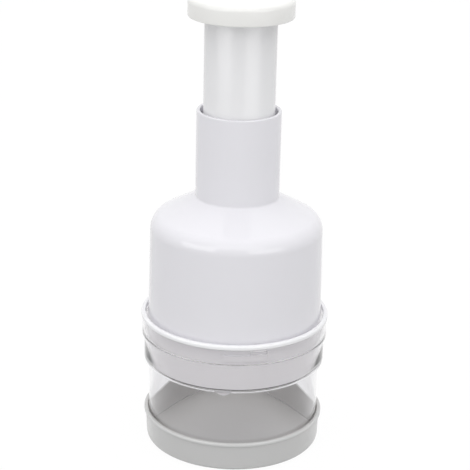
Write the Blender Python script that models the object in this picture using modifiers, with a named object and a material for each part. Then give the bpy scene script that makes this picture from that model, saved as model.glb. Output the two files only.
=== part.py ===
"""Manual food chopper: a push knob drives a folded blade down through a clear chopping container.

Units are metres, +Z is up and the origin is on the table under the middle of the chopper.
Every piece turns about the Z axis, so a piece's origin is on that axis, at its own lowest seat.
"""

import math

import bmesh
import bpy
from mathutils import Matrix, Vector

MM = 0.001

# Clearances
SEAT_GAP = 0.3 * MM        # a piece that rests on or in another
RUN_GAP = 0.4 * MM         # a piece that turns or slides in another
CUT_OVERRUN = 1.0 * MM     # a cutter past the face it opens, or a lug into the wall it joins
MERGE_DISTANCE = 0.001 * MM

# Feet and base cup
FOOT_STAND = 1.2 * MM
FOOT_SEAT = 0.8 * MM
FOOT_RADIUS = 2.2 * MM
FOOT_CHAMFER = 0.3 * MM
FOOT_INSET = 5.9 * MM      # from the cup's lower edge in to a foot's centre
BASE_HEIGHT = 16.3 * MM
BASE_WALL = 1.3 * MM
BASE_DRAFT = 0.6 * MM
BASE_CORNER = 2.2 * MM
BASE_BEAD_STEP = 0.9 * MM
BASE_BEAD_HEIGHT = 2.2 * MM
BASE_LIP_ROUND = 0.5 * MM
BASE_BEAD_ROUND = 0.9 * MM
BASE_RECESS = 1.2 * MM
BASE_RECESS_INSET = 4.0 * MM
BASE_RECESS_ROUND = 0.5 * MM
FLOOR_THICKNESS = 2.0 * MM

# Clear container
CONTAINER_RADIUS = 45.9 * MM
CONTAINER_WALL = 2.1 * MM
CONTAINER_EDGE_ROUND = 0.5 * MM
BARREL_HEIGHT = 43.2 * MM
LEDGE_THICKNESS = 1.6 * MM
SHOULDER_ROUND = 1.9 * MM
SHOULDER_COVE = 0.8 * MM
COLLAR_WALL = 1.3 * MM
COLLAR_HEIGHT = 13.4 * MM
BAND_STEP = 1.2 * MM
BAND_HEIGHT = 10.2 * MM
BAND_ROUND = 0.3 * MM
BEAD_STEP = 0.5 * MM
BEAD_HEIGHT = 2.4 * MM
BEAD_ROUND = 1.1 * MM
LUG_ROOM = 0.7 * MM
LUG_HEIGHT = 2.0 * MM

# Bell housing
SKIRT_STEP = 0.8 * MM      # from the container's barrel out to the bell's skirt
BELL_WALL = 2.2 * MM
BELL_DRAFT = 1.3 * MM
BELL_HEIGHT = 77.8 * MM
SHOULDER_RADIUS = 10.0 * MM
CONE_RISE = 12.6 * MM
SKIRT_EDGE_ROUND = 0.4 * MM
NECK_ROOM = 1.55 * MM      # between the plunger's tube and the neck
NECK_WALL = 1.9 * MM
NECK_FILLET = 1.2 * MM
NECK_LIP_ROUND = 0.7 * MM
RIB_OVERLAP = 0.4 * MM
RIB_HEIGHT = 3.3 * MM
RIB_LIFT = 3.2 * MM
STOP_HEIGHT = 2.2 * MM
STOP_PROUD = 0.1 * MM
LEDGE_DEPTH = 1.4 * MM
LEDGE_HEIGHT = 1.5 * MM

# Screws, bosses and the neck bush
BOSS_OFFSET = 3.6 * MM     # from the neck's outer face to a boss's centre
BOSS_RADIUS = 4.0 * MM
SCREW_SHANK_RADIUS = 1.45 * MM
SCREW_HEAD_RADIUS = 2.8 * MM
SCREW_HEAD_THICKNESS = 1.3 * MM
SCREW_LENGTH = 10.0 * MM
SCREW_SLOT_WIDTH = 0.9 * MM
SCREW_SLOT_DEPTH = 0.6 * MM
BUSH_HEIGHT = 9.7 * MM
BUSH_DEPTH = 15.1 * MM     # from the neck's rim down to the bush

# Retainer ring and wiper plate
RING_HEIGHT = 2.0 * MM
RING_WIDTH = 2.8 * MM
TONGUE_RADIUS = 4.35 * MM
TONGUE_DROP = 5.0 * MM
TONGUE_THICKNESS = 1.8 * MM
WIPER_THICKNESS = 2.5 * MM
WIPER_EDGE_ROUND = 0.5 * MM
SLOT_GAP = 0.7 * MM

# Plunger
STROKE = 44.0 * MM
KNOB_OVERHANG = 8.6 * MM
KNOB_THICKNESS = 10.2 * MM
KNOB_EDGE_ROUND = 3.0 * MM
KNOB_LOW_ROUND = 0.7 * MM
KNOB_WALL = 2.4 * MM
KNOB_HOLLOW = 5.0 * MM
KNOB_REST_GAP = 4.6 * MM
TUBE_ROOM = 1.65 * MM      # between the spring's wire and the tube
TUBE_WALL = 1.8 * MM
TUBE_SOCKET = 3.0 * MM
TUBE_FLANGE_HEIGHT = 6.4 * MM
TUBE_FLANGE_ROUND = 0.4 * MM
CORE_DISC_THICKNESS = 3.5 * MM
CORE_STEM_WALL = 2.2 * MM
CORE_BORE_RADIUS = 4.6 * MM
CAP_WALL = 1.5 * MM
CAP_FLOOR = 1.7 * MM
CAP_HEIGHT = 6.0 * MM
CAP_PARKING = 2.6 * MM
WASHER_THICKNESS = 1.2 * MM
WASHER_BORE = 2.5 * MM
KNOB_SCREW_LENGTH = 9.0 * MM

# Twisted shaft, holder and blade
SHAFT_HEAD_RADIUS = 6.6 * MM
SHAFT_HEAD_THICKNESS = 4.0 * MM
SHAFT_NECK_RADIUS = 4.3 * MM
SHAFT_NECK_LENGTH = 4.0 * MM
SHAFT_FLANGE_RADIUS = 7.5 * MM
SHAFT_FLANGE_THICKNESS = 1.7 * MM
SHAFT_SPIGOT_RADIUS = 4.0 * MM
SHAFT_SPIGOT_LENGTH = 1.7 * MM
BAR_WIDTH = 7.0 * MM
BAR_THICKNESS = 3.4 * MM
HOLDER_MARGIN = 2.5 * MM
HOLDER_THICKNESS = 4.5 * MM
HOLDER_EDGE_ROUND = 0.8 * MM
HOLDER_LIFT = 0.5 * MM
HOLDER_SCREW_HEAD_RADIUS = 4.9 * MM
HOLDER_SCREW_HEAD_THICKNESS = 1.9 * MM
HOLDER_SCREW_LENGTH = 8.0 * MM
BLADE_THICKNESS = 0.7 * MM
BLADE_WALL_GAP = 6.3 * MM
BLADE_SEAT = 2.4 * MM
BLADE_EDGE_HEIGHT = 2.6 * MM
BLADE_EDGE_THICKNESS = 0.16 * MM
BLADE_FLOOR_GAP = 0.5 * MM

# Guide plate, indexing nut and springs
PLATE_GAP = 0.5 * MM
PLATE_MARGIN = 1.0 * MM
PLATE_THICKNESS = 2.5 * MM
HUB_WALL = 3.0 * MM
HUB_HEIGHT = 6.3 * MM
HUB_FLOOR = 1.4 * MM
SHAFT_PASSAGE = 5.2 * MM
NUT_RADIUS = 9.0 * MM
NUT_HEIGHT = 4.0 * MM
TOOTH_HEIGHT = 0.8 * MM
WAVE_THICKNESS = 0.4 * MM
WAVE_SWING = 0.25 * MM
WAVE_WIDTH = 2.6 * MM
NUT_CAP_THICKNESS = 1.6 * MM
NUT_CAP_SPIGOT = 1.0 * MM
BUMPER_HEIGHT = 1.7 * MM
BUMPER_WIDTH = 3.2 * MM
BUMPER_ROUND = 0.5 * MM
SPRING_ROOM = 1.0 * MM     # between the hub and the spring's wire
WIRE_RADIUS = 0.9 * MM
END_COIL_RISE = 2.4 * MM

# Counts, angles and shares
ROUNDING_SHARE = 0.0001
ROUND_STEPS = 48
SMALL_STEPS = 36
SCREW_STEPS = 16
ARC_STEPS = 3
SPRING_TURNS = 12
COIL_POINTS = 10
BAR_LEVELS = 12
TOOTH_COUNT = 12
SHARP_ANGLE = math.radians(35.0)
INDEX_ANGLE = math.radians(30.0)
FRONT = math.radians(-90.0)
RIB_START = math.radians(-96.7)
RIB_SPAN = math.radians(28.5)
STOP_SPAN = math.radians(1.5)
LUG_SPAN = math.radians(10.0)
LUG_GAP_ANGLE = math.radians(0.4)
TONGUE_ANGLE = math.radians(-96.5)
BOSS_ANGLE = math.radians(30.0)
# The folds of the blade seen from above, each as shares of its reach.
BLADE_FOLD_SHARES = ((-0.93, -0.32), (-0.55, 0.82), (0.0, -0.96), (0.55, 0.82), (0.93, -0.32))

# Heights of the seats, from the table up
BASE_Z = FOOT_STAND
FLOOR_Z = BASE_Z + BASE_RECESS + FLOOR_THICKNESS
CONTAINER_Z = FLOOR_Z + SEAT_GAP
LEDGE_Z = CONTAINER_Z + BARREL_HEIGHT
SKIRT_Z = LEDGE_Z + SEAT_GAP
RING_Z = SKIRT_Z
WIPER_Z = RING_Z + RING_HEIGHT + SEAT_GAP
WIPER_TOP_Z = WIPER_Z + WIPER_THICKNESS
BLADE_Z = FLOOR_Z + BLADE_FLOOR_GAP + STROKE
HOLDER_Z = WIPER_TOP_Z + HOLDER_LIFT + STROKE
HOLDER_TOP_Z = HOLDER_Z + HOLDER_THICKNESS
SHAFT_FLANGE_Z = HOLDER_TOP_Z + SEAT_GAP
BAR_Z = SHAFT_FLANGE_Z + SHAFT_FLANGE_THICKNESS
PLATE_Z = BAR_Z + PLATE_GAP
PLATE_TOP_Z = PLATE_Z + PLATE_THICKNESS
SLEEVE_Z = PLATE_TOP_Z + SEAT_GAP
NUT_Z = PLATE_Z + HUB_FLOOR + TOOTH_HEIGHT + SEAT_GAP
WAVE_Z = NUT_Z + NUT_HEIGHT + SEAT_GAP
HUB_TOP_Z = PLATE_TOP_Z + HUB_HEIGHT
NUT_CAP_Z = HUB_TOP_Z + SEAT_GAP
BUMPER_Z = PLATE_TOP_Z + SEAT_GAP
TUBE_Z = BUMPER_Z + BUMPER_HEIGHT + SEAT_GAP + STROKE
BUSH_Z = TUBE_Z + TUBE_FLANGE_HEIGHT + SEAT_GAP
CAP_Z = NUT_CAP_Z + NUT_CAP_THICKNESS + CAP_PARKING + STROKE
SHAFT_HEAD_Z = CAP_Z + CAP_FLOOR + SEAT_GAP
WASHER_Z = SHAFT_HEAD_Z + SHAFT_HEAD_THICKNESS + SEAT_GAP
CORNER_Z = SKIRT_Z + BELL_HEIGHT
NECK_Z = CORNER_Z + CONE_RISE
RIB_Z = LEDGE_Z + COLLAR_HEIGHT + RIB_LIFT
RIB_TOP_Z = RIB_Z + RIB_HEIGHT
GUIDE_SCREW_TIP_Z = PLATE_Z + SCREW_HEAD_THICKNESS + SCREW_LENGTH
HOLDER_SCREW_Z = HOLDER_Z + SEAT_GAP
HOLDER_SCREW_TIP_Z = HOLDER_SCREW_Z + HOLDER_SCREW_HEAD_THICKNESS + HOLDER_SCREW_LENGTH
RIM_Z = BUSH_Z + BUSH_HEIGHT + BUSH_DEPTH
KNOB_Z = RIM_Z + STROKE + KNOB_REST_GAP
CORE_DISC_TOP_Z = KNOB_Z - SEAT_GAP
CORE_DISC_Z = CORE_DISC_TOP_Z - CORE_DISC_THICKNESS
KNOB_SCREW_Z = CORE_DISC_Z - SEAT_GAP - SCREW_HEAD_THICKNESS
KNOB_SCREW_TIP_Z = KNOB_SCREW_Z + SCREW_HEAD_THICKNESS + KNOB_SCREW_LENGTH

# Radii that follow their neighbours
CUP_BORE = CONTAINER_RADIUS + SEAT_GAP
BASE_RADIUS = CUP_BORE + BASE_WALL
BASE_LOW_RADIUS = BASE_RADIUS - BASE_DRAFT
BASE_BEAD_RADIUS = BASE_RADIUS + BASE_BEAD_STEP
FOOT_CIRCLE = BASE_LOW_RADIUS - FOOT_INSET
BASE_RECESS_RADIUS = FOOT_CIRCLE - BASE_RECESS_INSET
CHAMBER_RADIUS = CONTAINER_RADIUS - CONTAINER_WALL
BLADE_REACH = CHAMBER_RADIUS - BLADE_WALL_GAP
HOLDER_RADIUS = BLADE_REACH + HOLDER_MARGIN
SKIRT_RADIUS = CONTAINER_RADIUS + SKIRT_STEP
COLLAR_BORE = SKIRT_RADIUS + RUN_GAP
COLLAR_RADIUS = COLLAR_BORE + COLLAR_WALL
BAND_BORE = COLLAR_BORE + LUG_ROOM
BAND_RADIUS = COLLAR_RADIUS + BAND_STEP
BEAD_RADIUS = BAND_RADIUS + BEAD_STEP
LUG_BORE = SKIRT_RADIUS + SEAT_GAP
RIB_RADIUS = LUG_BORE + RIB_OVERLAP
SKIRT_BORE = SKIRT_RADIUS - BELL_WALL
CORNER_RADIUS = SKIRT_RADIUS - BELL_DRAFT
HUB_BORE = NUT_RADIUS + SEAT_GAP
HUB_RADIUS = HUB_BORE + HUB_WALL
SPRING_RADIUS = HUB_RADIUS + SPRING_ROOM + WIRE_RADIUS
TUBE_BORE = SPRING_RADIUS + WIRE_RADIUS + TUBE_ROOM
TUBE_RADIUS = TUBE_BORE + TUBE_WALL
KNOB_RADIUS = TUBE_RADIUS + KNOB_OVERHANG
NECK_BORE = TUBE_RADIUS + NECK_ROOM
NECK_RADIUS = NECK_BORE + NECK_WALL
BOSS_CIRCLE = NECK_RADIUS + BOSS_OFFSET
PLATE_RADIUS = BOSS_CIRCLE + BOSS_RADIUS + PLATE_MARGIN
TUBE_FLANGE_RADIUS = NECK_BORE - RUN_GAP
CORE_DISC_RADIUS = TUBE_BORE - SEAT_GAP
HEAD_BORE = SHAFT_HEAD_RADIUS + RUN_GAP
SCREW_HOLE = SCREW_SHANK_RADIUS + SEAT_GAP
SCREW_SINK = SCREW_HEAD_RADIUS + SEAT_GAP
TWIST_RATE = INDEX_ANGLE / STROKE


# Outlines

def rounded(corners):
    """The outline through corners (r, z), or (r, z, fillet radius, steps) where a corner is rounded."""
    points = []
    count = len(corners)
    for index, (r, z, *fillet) in enumerate(corners):
        here = Vector((r, z))
        if not fillet:
            points.append(here)
            continue
        radius, steps = fillet
        before = Vector(corners[index - 1][:2])
        after = Vector(corners[(index + 1) % count][:2])
        back, ahead = (before - here).normalized(), (after - here).normalized()
        half = back.angle(ahead) / 2
        reach = radius / math.tan(half)
        centre = here + (back + ahead).normalized() * (radius / math.sin(half))
        start, end = here + back * reach - centre, here + ahead * reach - centre
        turn = start.angle_signed(end)
        for step in range(steps + 1):
            angle = -turn * step / steps
            spin = Matrix.Rotation(angle, 2)
            points.append(centre + spin @ start)
    return points


def strip(folds, half_width, end_reach=0.0):
    """The outline of a folded strip seen from above, its folds mitred and its ends run on."""
    line = [Vector(p) for p in folds]
    line[0] += (line[0] - line[1]).normalized() * end_reach
    line[-1] += (line[-1] - line[-2]).normalized() * end_reach
    left, right = [], []
    for index, point in enumerate(line):
        ways = []
        if index > 0:
            ways.append((point - line[index - 1]).normalized())
        if index < len(line) - 1:
            ways.append((line[index + 1] - point).normalized())
        normals = [Vector((-way.y, way.x)) for way in ways]
        mitre = sum(normals, Vector((0.0, 0.0))).normalized()
        offset = mitre * (half_width / mitre.dot(normals[0]))
        left.append(point + offset)
        right.append(point - offset)
    return left + right[::-1]


# Makers

def body_empty(name):
    """The carrier of the pieces that move together."""
    empty = bpy.data.objects.new(name, None)
    parts.objects.link(empty)
    return empty


def make_material(name, colour, roughness, metallic=0.0, transmission=0.0):
    """A plain Principled material."""
    material = bpy.data.materials.new(name)
    material.use_nodes = True
    shader = material.node_tree.nodes["Principled BSDF"]
    shader.inputs["Base Color"].default_value = (*colour, 1.0)
    shader.inputs["Roughness"].default_value = roughness
    shader.inputs["Metallic"].default_value = metallic
    shader.inputs["Transmission Weight"].default_value = transmission
    material.diffuse_color = (*colour, 1.0)
    return material


def add_object(name, data, z, body=None, material=None):
    """Links a piece at its seat, or a cutter when no body is named."""
    obj = bpy.data.objects.new(name, data)
    obj.location.z = z
    if body is None:
        cutters.objects.link(obj)
        obj.hide_render = True
        obj.display_type = "WIRE"
        return obj
    parts.objects.link(obj)
    obj.parent = body
    obj.data.materials.append(material)
    return obj


def turned(name, outline, z, body=None, material=None, steps=ROUND_STEPS, closed=True):
    """A turned piece: an outline at +X, running down its outer side, swept round the Z axis."""
    mesh = bpy.data.meshes.new(name)
    edges = [(i, i + 1) for i in range(len(outline) - 1)]
    if closed:
        edges.append((len(outline) - 1, 0))
    mesh.from_pydata([(r, 0.0, height) for r, height in outline], edges, [])
    obj = add_object(name, mesh, z, body, material)
    screw = obj.modifiers.new("turn", "SCREW")
    screw.axis = "Z"
    screw.angle = math.tau
    screw.steps = steps
    screw.render_steps = steps
    screw.use_merge_vertices = True
    screw.merge_threshold = MERGE_DISTANCE
    screw.use_smooth_shade = True
    return obj


def disc(name, radius, height, z, body=None, material=None, steps=SMALL_STEPS):
    """A plain cylinder standing on its seat."""
    mesh = bpy.data.meshes.new(name)
    shape = bmesh.new()
    bmesh.ops.create_cone(shape, cap_ends=True, segments=steps, radius1=radius, radius2=radius, depth=height)
    bmesh.ops.translate(shape, verts=shape.verts, vec=(0.0, 0.0, height / 2))
    shape.to_mesh(mesh)
    shape.free()
    return add_object(name, mesh, z, body, material)


def block(name, width, depth, height, z):
    """A box cutter centred on the axis, standing on z."""
    mesh = bpy.data.meshes.new(name)
    shape = bmesh.new()
    bmesh.ops.create_cube(shape, size=1.0)
    bmesh.ops.scale(shape, verts=shape.verts, vec=(width, depth, height))
    bmesh.ops.translate(shape, verts=shape.verts, vec=(0.0, 0.0, height / 2))
    shape.to_mesh(mesh)
    shape.free()
    return add_object(name, mesh, z)


def prism(name, outline, height, z, body=None, material=None):
    """A flat outline raised to a height."""
    mesh = bpy.data.meshes.new(name)
    shape = bmesh.new()
    floor = shape.faces.new([shape.verts.new((x, y, 0.0)) for x, y in outline])
    raised = bmesh.ops.extrude_face_region(shape, geom=[floor])
    top = [v for v in raised["geom"] if isinstance(v, bmesh.types.BMVert)]
    bmesh.ops.translate(shape, verts=top, vec=(0.0, 0.0, height))
    bmesh.ops.recalc_face_normals(shape, faces=shape.faces)
    shape.to_mesh(mesh)
    shape.free()
    return add_object(name, mesh, z, body, material)


def sector(name, inner, outer, height, z, start, span, steps=ARC_STEPS):
    """Part of a ring between two angles: a rib, lug or stop to be joined to a wall."""
    mesh = bpy.data.meshes.new(name)
    shape = bmesh.new()
    corners = ((inner, 0.0), (outer, 0.0), (outer, height), (inner, height))
    face = shape.faces.new([shape.verts.new((r, 0.0, h)) for r, h in corners])
    bmesh.ops.rotate(shape, verts=shape.verts, cent=(0.0, 0.0, 0.0), matrix=Matrix.Rotation(start, 3, "Z"))
    bmesh.ops.spin(
        shape,
        geom=[face, *face.edges, *face.verts],
        cent=(0.0, 0.0, 0.0),
        axis=(0.0, 0.0, 1.0),
        angle=span,
        steps=steps,
        use_duplicate=False,
    )
    bmesh.ops.recalc_face_normals(shape, faces=shape.faces)
    shape.to_mesh(mesh)
    shape.free()
    return add_object(name, mesh, z)


def combine(obj, other, operation):
    """Joins a helper shape to a piece, or cuts it out. The helper moves with the piece's body."""
    other.parent = obj.parent
    boolean = obj.modifiers.new(other.name, "BOOLEAN")
    boolean.operation = operation
    boolean.object = other
    boolean.solver = "EXACT"


def turned_about(obj, angle, radius=0.0):
    """Puts a helper or piece at a radius and an angle round the Z axis."""
    obj.location.x = radius * math.cos(angle)
    obj.location.y = radius * math.sin(angle)
    obj.rotation_euler.z = angle
    return obj


def screw_hole(name, mouth_z, tip_z):
    """A cutter for a screw's shank, from past the mouth to just past its tip."""
    low = mouth_z - CUT_OVERRUN
    return disc(name, SCREW_HOLE, tip_z + SEAT_GAP - low, low, steps=SCREW_STEPS)


def baked(obj):
    """Replaces a piece's modifiers by the mesh they make."""
    graph = bpy.context.evaluated_depsgraph_get()
    mesh = bpy.data.meshes.new_from_object(obj.evaluated_get(graph))
    obj.modifiers.clear()
    obj.data = mesh
    return mesh


def shade_round(obj):
    """Fixes a piece's shape and shades its round faces smooth, with its corners left sharp."""
    baked(obj)
    obj.data.shade_smooth()
    obj.data.set_sharp_from_angle(angle=SHARP_ANGLE)


def thirds():
    """The angles of the three places that repeat round the chopper."""
    return [math.tau * index / 3 for index in range(3)]


def saw_share(point):
    """How far up its ramp a saw tooth is at this place, from 0 to 1."""
    turn_share = math.atan2(point.y, point.x) / math.tau
    return (turn_share * TOOTH_COUNT + ROUNDING_SHARE) % 1.0


def blade_folds():
    """Where the blade's folds are, from above."""
    return [(x * BLADE_REACH, y * BLADE_REACH) for x, y in BLADE_FOLD_SHARES]


# Base

def build_base(body):
    """The push-on base cup that closes the container and is cut against, and its rubber feet."""
    outline = rounded([
        (CUP_BORE, BASE_HEIGHT, BASE_LIP_ROUND, 1),
        (BASE_BEAD_RADIUS, BASE_HEIGHT, BASE_BEAD_ROUND, 2),
        (BASE_BEAD_RADIUS, BASE_HEIGHT - BASE_BEAD_HEIGHT, BASE_BEAD_ROUND, 2),
        (BASE_RADIUS, BASE_HEIGHT - BASE_BEAD_HEIGHT),
        (BASE_LOW_RADIUS, 0.0, BASE_CORNER, 3),
        (BASE_RECESS_RADIUS, 0.0, BASE_RECESS_ROUND, 1),
        (BASE_RECESS_RADIUS, BASE_RECESS),
        (0.0, BASE_RECESS),
        (0.0, FLOOR_Z - BASE_Z),
        (CUP_BORE, FLOOR_Z - BASE_Z),
    ])
    seam = outline.index(Vector((0.0, FLOOR_Z - BASE_Z)))
    open_outline = outline[seam:] + outline[:seam]
    cup = turned("base_cup", open_outline, BASE_Z, body, GREY_PLASTIC, closed=False)
    names = ("foot_front", "foot_right", "foot_left")
    for name, angle in zip(names, thirds()):
        socket = disc(name + "_socket", FOOT_RADIUS + SEAT_GAP, FOOT_SEAT + CUT_OVERRUN,
                      BASE_Z - CUT_OVERRUN, steps=SCREW_STEPS)
        turned_about(socket, FRONT + angle, FOOT_CIRCLE)
        combine(cup, socket, "DIFFERENCE")
        height = FOOT_STAND + FOOT_SEAT - SEAT_GAP
        foot = turned(name, [
            (0.0, height),
            (FOOT_RADIUS, height),
            (FOOT_RADIUS, FOOT_CHAMFER),
            (FOOT_RADIUS - FOOT_CHAMFER, 0.0),
            (0.0, 0.0),
        ], 0.0, body, RUBBER, SCREW_STEPS, closed=False)
        turned_about(foot, FRONT + angle, FOOT_CIRCLE)


# Container

def build_container(body):
    """The clear chopping container: a barrel, a ledge for the bell, and a stepped bayonet collar."""
    ledge = LEDGE_Z - CONTAINER_Z
    step = ledge + COLLAR_HEIGHT
    bead = step + BAND_HEIGHT
    top = bead + BEAD_HEIGHT
    outline = rounded([
        (BAND_BORE, top, BAND_ROUND, 1),
        (BEAD_RADIUS, top, BEAD_ROUND, 2),
        (BEAD_RADIUS, bead, BAND_ROUND, 1),
        (BAND_RADIUS, bead),
        (BAND_RADIUS, step, BAND_ROUND, 1),
        (COLLAR_RADIUS, step),
        (COLLAR_RADIUS, ledge - LEDGE_THICKNESS, SHOULDER_ROUND, 3),
        (CONTAINER_RADIUS, ledge - LEDGE_THICKNESS, SHOULDER_COVE, 1),
        (CONTAINER_RADIUS, 0.0, CONTAINER_EDGE_ROUND, 1),
        (CHAMBER_RADIUS, 0.0, CONTAINER_EDGE_ROUND, 1),
        (CHAMBER_RADIUS, ledge, CONTAINER_EDGE_ROUND, 1),
        (COLLAR_BORE, ledge),
        (COLLAR_BORE, step + COLLAR_WALL),
        (BAND_BORE, step + COLLAR_WALL + LUG_ROOM),
    ])
    container = turned("container", outline, CONTAINER_Z, body, CLEAR_PLASTIC)
    rib_end = RIB_START + RIB_SPAN - STOP_SPAN / 2
    lug_z = RIB_TOP_Z + SEAT_GAP
    for index, angle in enumerate(thirds()):
        lug = sector("lug_%d" % index, LUG_BORE, BAND_BORE + CUT_OVERRUN, LUG_HEIGHT, lug_z,
                     rib_end - LUG_GAP_ANGLE - LUG_SPAN + angle, LUG_SPAN)
        combine(container, lug, "UNION")


# Bell housing

def cone_z(radius):
    """The height of the cone between the bell's wall and the neck."""
    return NECK_Z - CONE_RISE * (radius - NECK_RADIUS) / (CORNER_RADIUS - NECK_RADIUS)


def build_bell(body):
    """The bell with its neck, the sleeve inside it, screw bosses and bayonet ribs."""
    slope = math.atan2(CONE_RISE, CORNER_RADIUS - NECK_RADIUS)
    roof = BELL_WALL / math.cos(slope)
    inner_corner = CORNER_RADIUS - BELL_WALL
    pocket = WIPER_TOP_Z + SEAT_GAP
    outer = rounded([
        (NECK_BORE, RIM_Z, NECK_LIP_ROUND, 1),
        (NECK_RADIUS, RIM_Z, NECK_LIP_ROUND, 2),
        (NECK_RADIUS, NECK_Z, NECK_FILLET, 1),
        (CORNER_RADIUS, CORNER_Z, SHOULDER_RADIUS, 6),
        (SKIRT_RADIUS, SKIRT_Z, SKIRT_EDGE_ROUND, 1),
        (SKIRT_BORE, SKIRT_Z),
        (SKIRT_BORE, pocket),
        (SKIRT_BORE - LEDGE_DEPTH, pocket),
        (SKIRT_BORE - LEDGE_DEPTH, pocket + LEDGE_HEIGHT),
        (SKIRT_BORE, pocket + LEDGE_HEIGHT + LEDGE_DEPTH),
        (inner_corner, cone_z(inner_corner) - roof, SHOULDER_RADIUS - BELL_WALL, 3),
        (NECK_RADIUS, NECK_Z - roof),
        (NECK_RADIUS, SLEEVE_Z),
        (NECK_BORE, SLEEVE_Z),
    ])
    bell = turned("bell_housing", [(r, z - SKIRT_Z) for r, z in outer], SKIRT_Z, body, BELL_PLASTIC)
    boss_top = cone_z(BOSS_CIRCLE + BOSS_RADIUS) - BELL_WALL / 2
    for index, angle in enumerate(thirds()):
        boss = disc("boss_%d" % index, BOSS_RADIUS, boss_top - SLEEVE_Z, SLEEVE_Z, steps=SCREW_STEPS)
        combine(bell, turned_about(boss, BOSS_ANGLE + angle, BOSS_CIRCLE), "UNION")
        rib = sector("rib_%d" % index, SKIRT_RADIUS - BELL_WALL / 2, RIB_RADIUS, RIB_HEIGHT,
                     RIB_Z, RIB_START + angle, RIB_SPAN)
        combine(bell, rib, "UNION")
        stop = sector("stop_%d" % index, SKIRT_RADIUS - BELL_WALL / 3, RIB_RADIUS + STOP_PROUD,
                      STOP_HEIGHT + RIB_HEIGHT / 2, RIB_TOP_Z - RIB_HEIGHT / 2,
                      RIB_START + RIB_SPAN - STOP_SPAN / 2 + angle, STOP_SPAN, steps=1)
        combine(bell, stop, "UNION")
        hole = screw_hole("boss_hole_%d" % index, SLEEVE_Z, GUIDE_SCREW_TIP_Z)
        combine(bell, turned_about(hole, BOSS_ANGLE + angle, BOSS_CIRCLE), "DIFFERENCE")


# Small pieces in the housing

def ring(name, inner, outer, height, z, body, material, edge=0.0, steps=ROUND_STEPS):
    """A plain ring, its outer edges bevelled where an edge is given."""
    fillet = (edge, 1) if edge else ()
    outline = rounded([(inner, height), (outer, height, *fillet), (outer, 0.0, *fillet), (inner, 0.0)])
    return turned(name, outline, z, body, material, steps)


def pan_screw(name, length, head, thickness, z, body):
    """A screw driven upwards: its head stands on z, slotted across, with the shank above it."""
    screw = turned(name, [
        (0.0, thickness + length),
        (SCREW_SHANK_RADIUS, thickness + length),
        (SCREW_SHANK_RADIUS, thickness),
        (head, thickness),
        (head, thickness / 2),
        (head - thickness / 2, 0.0),
        (0.0, 0.0),
    ], z, body, STEEL, SCREW_STEPS, closed=False)
    slot = block(name + "_slot", 2 * head + CUT_OVERRUN, SCREW_SLOT_WIDTH,
                 SCREW_SLOT_DEPTH + CUT_OVERRUN, z - CUT_OVERRUN)
    combine(screw, slot, "DIFFERENCE")
    return screw, slot


def build_guide(body):
    """The guide plate under the neck, its hub, the indexing nut, its wave spring and cap."""
    hub_top = HUB_TOP_Z - PLATE_Z
    plate = turned("guide_plate", [
        (HUB_BORE, hub_top),
        (HUB_RADIUS, hub_top),
        (HUB_RADIUS, PLATE_THICKNESS),
        (PLATE_RADIUS, PLATE_THICKNESS),
        (PLATE_RADIUS, 0.0),
        (SHAFT_PASSAGE, 0.0),
        (SHAFT_PASSAGE, HUB_FLOOR),
        (HUB_BORE, HUB_FLOOR),
    ], PLATE_Z, body, ACETAL)
    for vertex in baked(plate).vertices:
        if abs(vertex.co.z - HUB_FLOOR) < MERGE_DISTANCE:
            vertex.co.z += TOOTH_HEIGHT * saw_share(vertex.co)
    for index, angle in enumerate(thirds()):
        place = BOSS_ANGLE + angle
        hole = screw_hole("plate_hole_%d" % index, PLATE_Z, PLATE_TOP_Z + CUT_OVERRUN)
        combine(plate, turned_about(hole, place, BOSS_CIRCLE), "DIFFERENCE")
        sink = disc("plate_sink_%d" % index, SCREW_SINK, SCREW_HEAD_THICKNESS + SEAT_GAP + CUT_OVERRUN,
                    PLATE_Z - CUT_OVERRUN, steps=SCREW_STEPS)
        combine(plate, turned_about(sink, place, BOSS_CIRCLE), "DIFFERENCE")
        screw, slot = pan_screw("guide_screw_%d" % (index + 1), SCREW_LENGTH, SCREW_HEAD_RADIUS,
                                SCREW_HEAD_THICKNESS, PLATE_Z, body)
        turned_about(screw, place, BOSS_CIRCLE)
        turned_about(slot, place, BOSS_CIRCLE)

    nut_bore = BAR_THICKNESS / 4
    nut = turned("indexing_nut", [
        (nut_bore, NUT_HEIGHT),
        (NUT_RADIUS, NUT_HEIGHT),
        (NUT_RADIUS, -TOOTH_HEIGHT),
        (nut_bore, -TOOTH_HEIGHT),
    ], NUT_Z, body, ACETAL)
    for vertex in baked(nut).vertices:
        if vertex.co.z < 0.0:
            vertex.co.z += TOOTH_HEIGHT * saw_share(vertex.co)
    slot_z = NUT_Z - TOOTH_HEIGHT - CUT_OVERRUN
    combine(nut, twisted_bar("nut_slot", SEAT_GAP, slot_z,
                             NUT_HEIGHT + TOOTH_HEIGHT + 2 * CUT_OVERRUN), "DIFFERENCE")

    wave_outer = NUT_RADIUS - SEAT_GAP
    wave = ring("wave_spring", wave_outer - WAVE_WIDTH, wave_outer, WAVE_THICKNESS,
                WAVE_Z + WAVE_SWING, body, STEEL, steps=ROUND_STEPS)
    for vertex in baked(wave).vertices:
        angle = math.atan2(vertex.co.y, vertex.co.x)
        vertex.co.z += WAVE_SWING * math.cos(3 * angle)

    spigot = HUB_BORE - SEAT_GAP
    turned("nut_cap", [
        (SHAFT_PASSAGE, NUT_CAP_THICKNESS),
        (HUB_RADIUS, NUT_CAP_THICKNESS),
        (HUB_RADIUS, 0.0),
        (spigot, 0.0),
        (spigot, -NUT_CAP_SPIGOT),
        (SHAFT_PASSAGE, -NUT_CAP_SPIGOT),
    ], NUT_CAP_Z, body, ACETAL, SMALL_STEPS)


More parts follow.
